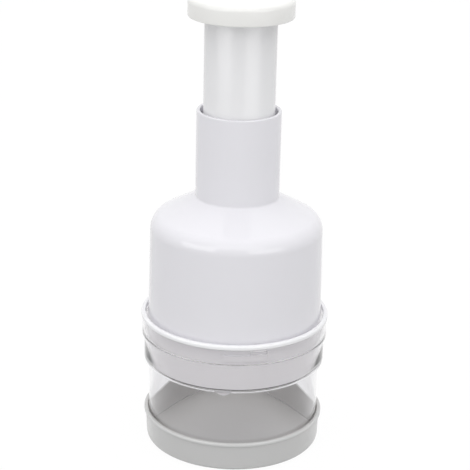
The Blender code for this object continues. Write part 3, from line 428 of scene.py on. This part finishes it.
def thickened(piece, thickness, edge_group=""):
    """Leave edit mode and give the sheet its thickness, thinner where the group says so."""
    bpy.ops.object.mode_set(mode="OBJECT")
    solidify = piece.modifiers.new("gauge", "SOLIDIFY")
    solidify.thickness = thickness * MM
    solidify.offset = 0.0
    solidify.use_even_offset = True
    if edge_group:
        solidify.vertex_group = edge_group
        solidify.thickness_vertex_group = 0.0
    bpy.ops.object.modifier_apply(modifier="gauge")
    bpy.ops.object.mode_set(mode="EDIT")
    close_skin()
    bpy.ops.object.mode_set(mode="OBJECT")


def cut_from(piece, tool, operation="DIFFERENCE"):
    """Join or take the tool's shape from the piece, and remove the tool."""
    bpy.ops.object.select_all(action="DESELECT")
    bpy.context.view_layer.objects.active = piece
    piece.select_set(True)
    modifier = piece.modifiers.new("shape", "BOOLEAN")
    modifier.operation = operation
    modifier.solver = "EXACT"
    modifier.use_self = True
    modifier.object = tool
    bpy.ops.object.modifier_apply(modifier="shape")
    bpy.data.objects.remove(tool)


slot_cutter = folded_strip(WIPER_Z - CUT_OVERRUN, WIPER_TOP_Z + CUT_OVERRUN, SLOT_GAP)
thickened(slot_cutter, BLADE_GAUGE + 2 * SLOT_GAP)
wiper = turned_piece(rounded_outline([
    (0.0, WIPER_TOP_Z),
    (WIPER_RADIUS, WIPER_TOP_Z, 0.5, 5),
    (WIPER_RADIUS, WIPER_Z, 0.5, 5),
    (0.0, WIPER_Z),
]), steps=180, closed=False)
bpy.ops.object.mode_set(mode="OBJECT")
cut_from(wiper, slot_cutter)
wiper = finished("wiper_disc", "wiper")
wiper.data.materials.append(bell_white)
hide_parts("wiper_plate")

# Retainer ring
# A white ring snapped into the skirt, which keeps the wiper up. Its three rounded tongues centre the
# bell in the barrel; the front one shows through the clear collar.

RING_Z = 48.2
RING_TOP_Z = 50.2
RING_BORE = 41.4
RING_RADIUS = 44.2
TONGUE_RADIUS = 4.35
TONGUE_THICKNESS = 1.8
TONGUE_Z = 47.55
TONGUE_CIRCLE = 42.3
TONGUE_TOP_Z = 49.9
TONGUE_ANGLE = math.radians(-96.5)
ring = turned_piece(rounded_outline([
    (RING_BORE, RING_TOP_Z, 0.2, 2),
    (RING_RADIUS, RING_TOP_Z, 0.3, 3),
    (RING_RADIUS, RING_Z, 0.3, 3),
    (RING_BORE, RING_Z, 0.2, 2),
]), steps=180)
bpy.ops.object.mode_set(mode="OBJECT")
for index in range(3):
    angle = TONGUE_ANGLE + index * THIRD
    bpy.ops.object.select_all(action="DESELECT")
    bpy.ops.mesh.primitive_cylinder_add(
        vertices=72, radius=TONGUE_RADIUS * MM, depth=TONGUE_THICKNESS * MM,
        location=(TONGUE_CIRCLE * MM * math.cos(angle), TONGUE_CIRCLE * MM * math.sin(angle), TONGUE_Z * MM),
        rotation=(0.0, math.pi / 2, angle))
    bpy.ops.object.transform_apply(location=True, rotation=True, scale=True)
    tongue = bpy.context.object
    bpy.ops.object.mode_set(mode="EDIT")
    bpy.ops.mesh.select_mode(type="EDGE")
    bpy.ops.mesh.select_all(action="DESELECT")
    bpy.ops.mesh.edges_select_sharp(sharpness=math.radians(60.0))
    bpy.ops.mesh.bevel(offset=0.45 * MM, segments=4, affect="EDGES")
    bpy.ops.mesh.select_all(action="SELECT")
    bpy.ops.mesh.bisect(
        plane_co=(0, 0, TONGUE_TOP_Z * MM), plane_no=(0, 0, 1), clear_outer=True, use_fill=True)
    bpy.ops.object.mode_set(mode="OBJECT")
    cut_from(ring, tongue, "UNION")
ring = finished("wiper_retainer", "housing")
ring.data.materials.append(bell_white)
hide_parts("retainer_ring")

# Bell housing
# The bell and its neck are one glossy white moulding. Low ribs run round the skirt under the clear
# collar, each with a stop at its end, and lock under the container's lugs.

NECK_RADIUS = 22.0
NECK_BORE = 20.1
NECK_Z = 138.6
NECK_RIM_Z = 184.8
CORNER_RADIUS = 45.4
CORNER_Z = 126.0
SHOULDER_RADIUS = 10.0
SKIRT_RADIUS = 46.7
SKIRT_BORE = 44.5
BELL_WALL = 2.2
RIB_Z = 64.5
RIB_TOP_Z = 67.8
STOP_TOP_Z = 70.0
RIB_START = math.radians(-96.7)
RIB_SPAN = math.radians(28.5)
STOP_SPAN = math.radians(1.5)
RIB_RADIUS = 47.4
BELL_STEPS = 480
STOP_PROUD = 0.1
POCKET_Z = 53.3
SHELF_DEPTH = 1.4
SHELF_HEIGHT = 1.5
SLEEVE_Z = 107.3
cone_fall = (NECK_Z - CORNER_Z) / (CORNER_RADIUS - NECK_RADIUS)
roof = BELL_WALL / math.cos(math.atan(cone_fall))
inner_corner = CORNER_RADIUS - BELL_WALL
inner_corner_z = NECK_Z - cone_fall * (inner_corner - NECK_RADIUS)


def skirt_point(height):
    """The corner of the tapered bell wall at that height."""
    share = (height - RING_Z) / (CORNER_Z - RING_Z)
    return (SKIRT_RADIUS + (CORNER_RADIUS - SKIRT_RADIUS) * share, height)


bell = turned_piece(rounded_outline([
    (NECK_BORE, NECK_RIM_Z, 0.7, 5),
    (NECK_RADIUS, NECK_RIM_Z, 0.7, 5),
    (NECK_RADIUS, NECK_Z, 1.2, 6),
    (CORNER_RADIUS, CORNER_Z, SHOULDER_RADIUS, 18),
    skirt_point(STOP_TOP_Z),
    skirt_point(RIB_TOP_Z),
    skirt_point(RIB_Z),
    (SKIRT_RADIUS, RING_Z, 0.4, 4),
    (SKIRT_BORE, RING_Z, 0.2, 2),
    (SKIRT_BORE, POCKET_Z),
    (SKIRT_BORE - SHELF_DEPTH, POCKET_Z),
    (SKIRT_BORE - SHELF_DEPTH, POCKET_Z + SHELF_HEIGHT),
    (SKIRT_BORE, POCKET_Z + SHELF_HEIGHT + SHELF_DEPTH),
    (inner_corner, inner_corner_z - roof, SHOULDER_RADIUS - BELL_WALL, 8),
    (NECK_RADIUS, NECK_Z - roof, 0.8, 3),
    (NECK_RADIUS, SLEEVE_Z),
    (NECK_BORE, SLEEVE_Z),
]), steps=BELL_STEPS, start=RIB_START)


def raise_band(low, high, start, span, radius):
    """Draw the skirt's faces between two heights out to the radius, in three arcs."""
    pick_faces(bell, lambda out, height, angle: (
        out > SKIRT_BORE + 1.0 and low < height < high and within(angle, start, span)))
    bpy.ops.mesh.extrude_region_move()
    bpy.ops.mesh.select_mode(type="VERT")
    shape = bmesh.from_edit_mesh(bell.data)
    for vertex in shape.verts:
        if vertex.select:
            vertex.co.xy = vertex.co.xy.normalized() * radius * MM
    bmesh.update_edit_mesh(bell.data)


raise_band(RIB_Z, RIB_TOP_Z, RIB_START, RIB_SPAN, RIB_RADIUS)
raise_band(RIB_Z, STOP_TOP_Z, RIB_START + RIB_SPAN - STOP_SPAN / 2, STOP_SPAN, RIB_RADIUS + STOP_PROUD)
bell = finished("bell_and_neck", "housing")
bell.data.materials.append(bell_white)
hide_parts("bell_housing")

# Plunger tube
# The white tube that slides in the neck. A flange at its foot stops it under the neck bush.

TUBE_RADIUS = 18.55
TUBE_BORE = 16.75
TUBE_Z = 153.3
TUBE_TOP_Z = 236.4
FLANGE_RADIUS = 19.7
FLANGE_TOP_Z = TUBE_Z + 6.4
tube = turned_piece(rounded_outline([
    (TUBE_BORE, TUBE_TOP_Z, 0.3, 2),
    (TUBE_RADIUS, TUBE_TOP_Z, 0.3, 2),
    (TUBE_RADIUS, FLANGE_TOP_Z, 0.3, 3),
    (FLANGE_RADIUS, FLANGE_TOP_Z, 0.4, 3),
    (FLANGE_RADIUS, TUBE_Z, 0.4, 3),
    (TUBE_BORE, TUBE_Z, 0.3, 2),
]))
tube = finished("sliding_tube", "plunger")
tube.data.materials.append(plastic(
    "tube_white_plastic", (0.87, 0.87, 0.885), (0.85, 0.85, 0.862), gloss=0.21, dulling=0.05))
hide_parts("plunger_tube")

# Knob
# The round palm knob, a thick-walled warm white cap. A groove under it takes the tube's end, and a
# ring-shaped hollow keeps its wall even.

KNOB_RADIUS = 27.15
KNOB_Z = 233.4
KNOB_TOP_Z = 243.6
HOLLOW_OUTER = 24.75
HOLLOW_INNER = 21.25
HOLLOW_DEPTH = 5.0
GROOVE_ROOM = 0.3
GROOVE_DEPTH = 3.3
SCREW_HOLE_RADIUS = 1.75
SCREW_HOLE_DEPTH = 8.2
knob = turned_piece(rounded_outline([
    (0.0, KNOB_TOP_Z),
    (KNOB_RADIUS, KNOB_TOP_Z, 3.0, 12),
    (KNOB_RADIUS, KNOB_Z, 0.7, 5),
    (HOLLOW_OUTER, KNOB_Z, 0.3, 2),
    (HOLLOW_OUTER, KNOB_Z + HOLLOW_DEPTH, 0.5, 3),
    (HOLLOW_INNER, KNOB_Z + HOLLOW_DEPTH, 0.5, 3),
    (HOLLOW_INNER, KNOB_Z, 0.3, 2),
    (TUBE_RADIUS + GROOVE_ROOM, KNOB_Z),
    (TUBE_RADIUS + GROOVE_ROOM, KNOB_Z + GROOVE_DEPTH),
    (TUBE_BORE - GROOVE_ROOM, KNOB_Z + GROOVE_DEPTH),
    (TUBE_BORE - GROOVE_ROOM, KNOB_Z),
    (SCREW_HOLE_RADIUS, KNOB_Z),
    (SCREW_HOLE_RADIUS, KNOB_Z + SCREW_HOLE_DEPTH),
    (0.0, KNOB_Z + SCREW_HOLE_DEPTH),
]), closed=False)
knob = finished("palm_knob", "plunger")
knob.data.materials.append(plastic(
    "knob_warm_plastic", (0.935, 0.933, 0.915), (0.915, 0.912, 0.89), gloss=0.2, dulling=0.05))
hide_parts("knob_cap")

# Return spring
# Stainless wire wound in twelve open turns with one closed turn at each end. It stands on the guide
# plate round the nut's hub and lifts the plunger's core.

SPRING_RADIUS = 14.2
WIRE_RADIUS = 0.9
SPRING_LOW_Z = 108.2
SPRING_HIGH_Z = 228.2
OPEN_TURNS = 12
END_TURN_RISE = 2.4
WIRE_SIDES = 14
TURN_STEPS = 48


def wound_wire(turns, rise, low_z, name):
    """Some turns of the wire that climb evenly: its section, screwed round the axis."""
    bpy.ops.object.select_all(action="DESELECT")
    bpy.ops.mesh.primitive_circle_add(
        vertices=WIRE_SIDES, radius=WIRE_RADIUS * MM, location=(SPRING_RADIUS * MM, 0, low_z * MM),
        rotation=(math.pi / 2, 0, 0))
    bpy.ops.object.transform_apply(location=True, rotation=True, scale=True)
    coil = bpy.context.object
    screw = coil.modifiers.new("winding", "SCREW")
    screw.angle = math.tau * turns
    screw.screw_offset = rise * MM
    screw.steps = TURN_STEPS * turns
    screw.render_steps = TURN_STEPS * turns
    bpy.ops.object.modifier_apply(modifier="winding")
    coil.name = name
    return coil


open_rise = SPRING_HIGH_Z - SPRING_LOW_Z - 2 * END_TURN_RISE
coils = [
    wound_wire(1, END_TURN_RISE, SPRING_LOW_Z, "low_turn"),
    wound_wire(OPEN_TURNS, open_rise, SPRING_LOW_Z + END_TURN_RISE, "open_turns"),
    wound_wire(1, END_TURN_RISE, SPRING_HIGH_Z - END_TURN_RISE, "high_turn"),
]
bpy.ops.object.select_all(action="DESELECT")
for coil in coils:
    coil.select_set(True)
bpy.context.view_layer.objects.active = coils[0]
bpy.ops.object.join()
bpy.ops.object.mode_set(mode="EDIT")
bpy.ops.mesh.select_all(action="SELECT")
bpy.ops.mesh.remove_doubles(threshold=0.002 * MM)
bpy.ops.mesh.select_all(action="DESELECT")
bpy.ops.mesh.select_non_manifold()
bpy.ops.mesh.edge_face_add()
close_skin()
spring = finished("return_spring", "housing")
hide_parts("main_spring")


def brushed_steel(name, along, shine=0.22):
    """Stainless steel with fine drawn or ground lines along one way."""
    material = bpy.data.materials.new(name)
    material.use_nodes = True
    nodes, links = material.node_tree.nodes, material.node_tree.links
    shader = nodes["Principled BSDF"]
    shader.inputs["Metallic"].default_value = 1.0
    place = nodes.new("ShaderNodeTexCoord")
    stretch = nodes.new("ShaderNodeMapping")
    stretch.inputs["Scale"].default_value = along
    lines = nodes.new("ShaderNodeTexNoise")
    lines.inputs["Scale"].default_value = 1.0
    lines.inputs["Detail"].default_value = 4.0
    tone = nodes.new("ShaderNodeMix")
    tone.data_type = "RGBA"
    tone.inputs["A"].default_value = (0.66, 0.655, 0.65, 1.0)
    tone.inputs["B"].default_value = (0.56, 0.56, 0.565, 1.0)
    polish = nodes.new("ShaderNodeMapRange")
    polish.inputs["To Min"].default_value = shine
    polish.inputs["To Max"].default_value = shine + 0.16
    bump = nodes.new("ShaderNodeBump")
    bump.inputs["Strength"].default_value = 0.12
    bump.inputs["Distance"].default_value = 0.05 * MM
    links.new(place.outputs["Object"], stretch.inputs["Vector"])
    links.new(stretch.outputs["Vector"], lines.inputs["Vector"])
    links.new(lines.outputs["Fac"], tone.inputs["Factor"])
    links.new(lines.outputs["Fac"], polish.inputs["Value"])
    links.new(lines.outputs["Fac"], bump.inputs["Height"])
    links.new(tone.outputs["Result"], shader.inputs["Base Color"])
    links.new(polish.outputs["Result"], shader.inputs["Roughness"])
    links.new(bump.outputs["Normal"], shader.inputs["Normal"])
    return material


turned_steel = brushed_steel("drawn_steel", (900.0, 900.0, 2600.0))
spring.data.materials.append(turned_steel)
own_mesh(spring)

# Chopping blade
# One strip of stainless steel folded to a W with rounded folds, its lower edge ground thin. It hangs
# from the white holder, inside the bell until the knob is pressed.

BLADE_LOW_Z = 48.9
BLADE_TOP_Z = 99.9
EDGE_Z = BLADE_LOW_Z + 2.6
EDGE_GAUGE = 0.16
blade = folded_strip(BLADE_LOW_Z, BLADE_TOP_Z, 0.0, rows=(EDGE_Z,))
bpy.ops.object.mode_set(mode="OBJECT")
gauge = blade.vertex_groups.new(name="gauge")
gauge.add(range(len(blade.data.vertices)), 1.0, "REPLACE")
ground = [v.index for v in blade.data.vertices if v.co.z < (BLADE_LOW_Z + 0.1) * MM]
gauge.add(ground, EDGE_GAUGE / BLADE_GAUGE, "REPLACE")
bpy.ops.object.mode_set(mode="EDIT")
thickened(blade, BLADE_GAUGE, "gauge")
blade = finished("folded_blade", "blade")
blade.data.materials.append(brushed_steel("ground_blade_steel", (60.0, 60.0, 2400.0), shine=0.16))
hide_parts("chopping_blade")

# Guide and indexing pieces
# The small mouldings and steel parts inside the bell: they keep their solids' shapes and take the
# finishes of natural acetal, rubber and stainless steel.

acetal = plastic("natural_acetal", (0.80, 0.795, 0.765), (0.77, 0.765, 0.73), gloss=0.42, dulling=0.12,
                 flow_scale=60.0, grain=0.12, ior=1.48)
for finish, nodes in (
    (acetal, ("guide_plate", "indexing_nut", "nut_cap", "neck_bush", "plunger_core", "stem_cap",
              "blade_holder")),
    (rubber, ("stop_bumper",)),
    (turned_steel, ("guide_screw_1", "guide_screw_2", "guide_screw_3", "wave_spring", "knob_screw",
                    "thrust_washer", "twist_shaft", "holder_screw")),
):
    for node in nodes:
        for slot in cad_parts[node].material_slots:
            slot.material = finish

# Table, lamps and sky
# A white table in a white room whose light grows towards the top, and three softboxes before it.
# Each has a twin that only its reflections show, for the glints on the shoulder and the knob.

bpy.ops.object.select_all(action="DESELECT")
bpy.ops.mesh.primitive_circle_add(vertices=96, radius=6.0, fill_type="NGON", location=(0, 0, 0))
table = bpy.context.object
table.name = "white_table"


def seen_white(nodes, links):
    """1 where the camera sees a place, directly, in a reflection or through the clear container."""
    ray = nodes.new("ShaderNodeLightPath")
    seen = nodes.new("ShaderNodeMath")
    seen.operation = "MAXIMUM"
    seen_or_clear = nodes.new("ShaderNodeMath")
    seen_or_clear.operation = "MAXIMUM"
    links.new(ray.outputs["Is Camera Ray"], seen.inputs[0])
    links.new(ray.outputs["Is Glossy Ray"], seen.inputs[1])
    links.new(seen.outputs["Value"], seen_or_clear.inputs[0])
    links.new(ray.outputs["Is Transmission Ray"], seen_or_clear.inputs[1])
    return seen_or_clear.outputs["Value"]


TABLE_GREY = 0.5
TABLE_GLOW = 1.04
GLOW_SHARE = 0.93
table_white = bpy.data.materials.new("table_white")
table_white.use_nodes = True
nodes, links = table_white.node_tree.nodes, table_white.node_tree.links
nodes.remove(nodes["Principled BSDF"])
card = nodes.new("ShaderNodeBsdfDiffuse")
card.inputs["Color"].default_value = (TABLE_GREY, TABLE_GREY, TABLE_GREY, 1.0)
glow = nodes.new("ShaderNodeEmission")
glow.inputs["Strength"].default_value = TABLE_GLOW
share = nodes.new("ShaderNodeMath")
share.operation = "MULTIPLY"
share.inputs[1].default_value = GLOW_SHARE
mix = nodes.new("ShaderNodeMixShader")
links.new(seen_white(nodes, links), share.inputs[0])
links.new(share.outputs["Value"], mix.inputs["Fac"])
links.new(card.outputs["BSDF"], mix.inputs[1])
links.new(glow.outputs["Emission"], mix.inputs[2])
links.new(mix.outputs["Shader"], nodes["Material Output"].inputs["Surface"])
table.data.materials.append(table_white)

SKY_LOW = 0.25
SKY_HIGH = 1.87
world = bpy.data.worlds.new("white_room")
bpy.context.scene.world = world
world.use_nodes = True
nodes, links = world.node_tree.nodes, world.node_tree.links
sky = nodes["Background"]
sky.inputs["Color"].default_value = (1.0, 1.0, 1.0, 1.0)
way = nodes.new("ShaderNodeTexCoord")
height = nodes.new("ShaderNodeSeparateXYZ")
up = nodes.new("ShaderNodeMath")
up.operation = "POWER"
up.use_clamp = True
up.inputs[1].default_value = 2.0
room = nodes.new("ShaderNodeMapRange")
room.inputs["To Min"].default_value = SKY_LOW
room.inputs["To Max"].default_value = SKY_HIGH
level = nodes.new("ShaderNodeMix")
level.inputs["B"].default_value = 1.0
links.new(way.outputs["Generated"], height.inputs["Vector"])
links.new(height.outputs["Z"], up.inputs[0])
links.new(up.outputs["Value"], room.inputs["Value"])
links.new(seen_white(nodes, links), level.inputs["Factor"])
links.new(room.outputs["Result"], level.inputs["A"])
links.new(level.outputs["Result"], sky.inputs["Strength"])


LAMP_AIM = Vector((0.0, 0.0, 0.12))


def softbox(name, place, width, height, level):
    """A square lamp that faces the bell; level is the brightness of its face."""
    lamp = bpy.data.lights.new(name, "AREA")
    lamp.shape = "RECTANGLE"
    lamp.size = width
    lamp.size_y = height
    lamp.energy = level * math.pi * width * height
    holder = bpy.data.objects.new(name, lamp)
    bpy.context.collection.objects.link(holder)
    holder.location = place
    holder.rotation_euler = (LAMP_AIM - Vector(place)).to_track_quat("-Z", "Y").to_euler()
    return holder


for side, place, width, height, level, glint in (
    ("front", (0.0, -0.77, 0.76), 1.3, 0.35, 0.63, 3.2),
    ("left", (-0.74, -0.58, 0.46), 0.83, 0.39, 1.24, 1.6),
    ("right", (0.62, -0.74, 0.36), 0.83, 0.39, 1.13, 1.4),
):
    softbox(side + "_softbox", place, width, height, level)
    softbox(side + "_glint", place, width, height, glint).visible_diffuse = False

view = bpy.context.scene.view_settings
view.view_transform = "Standard"
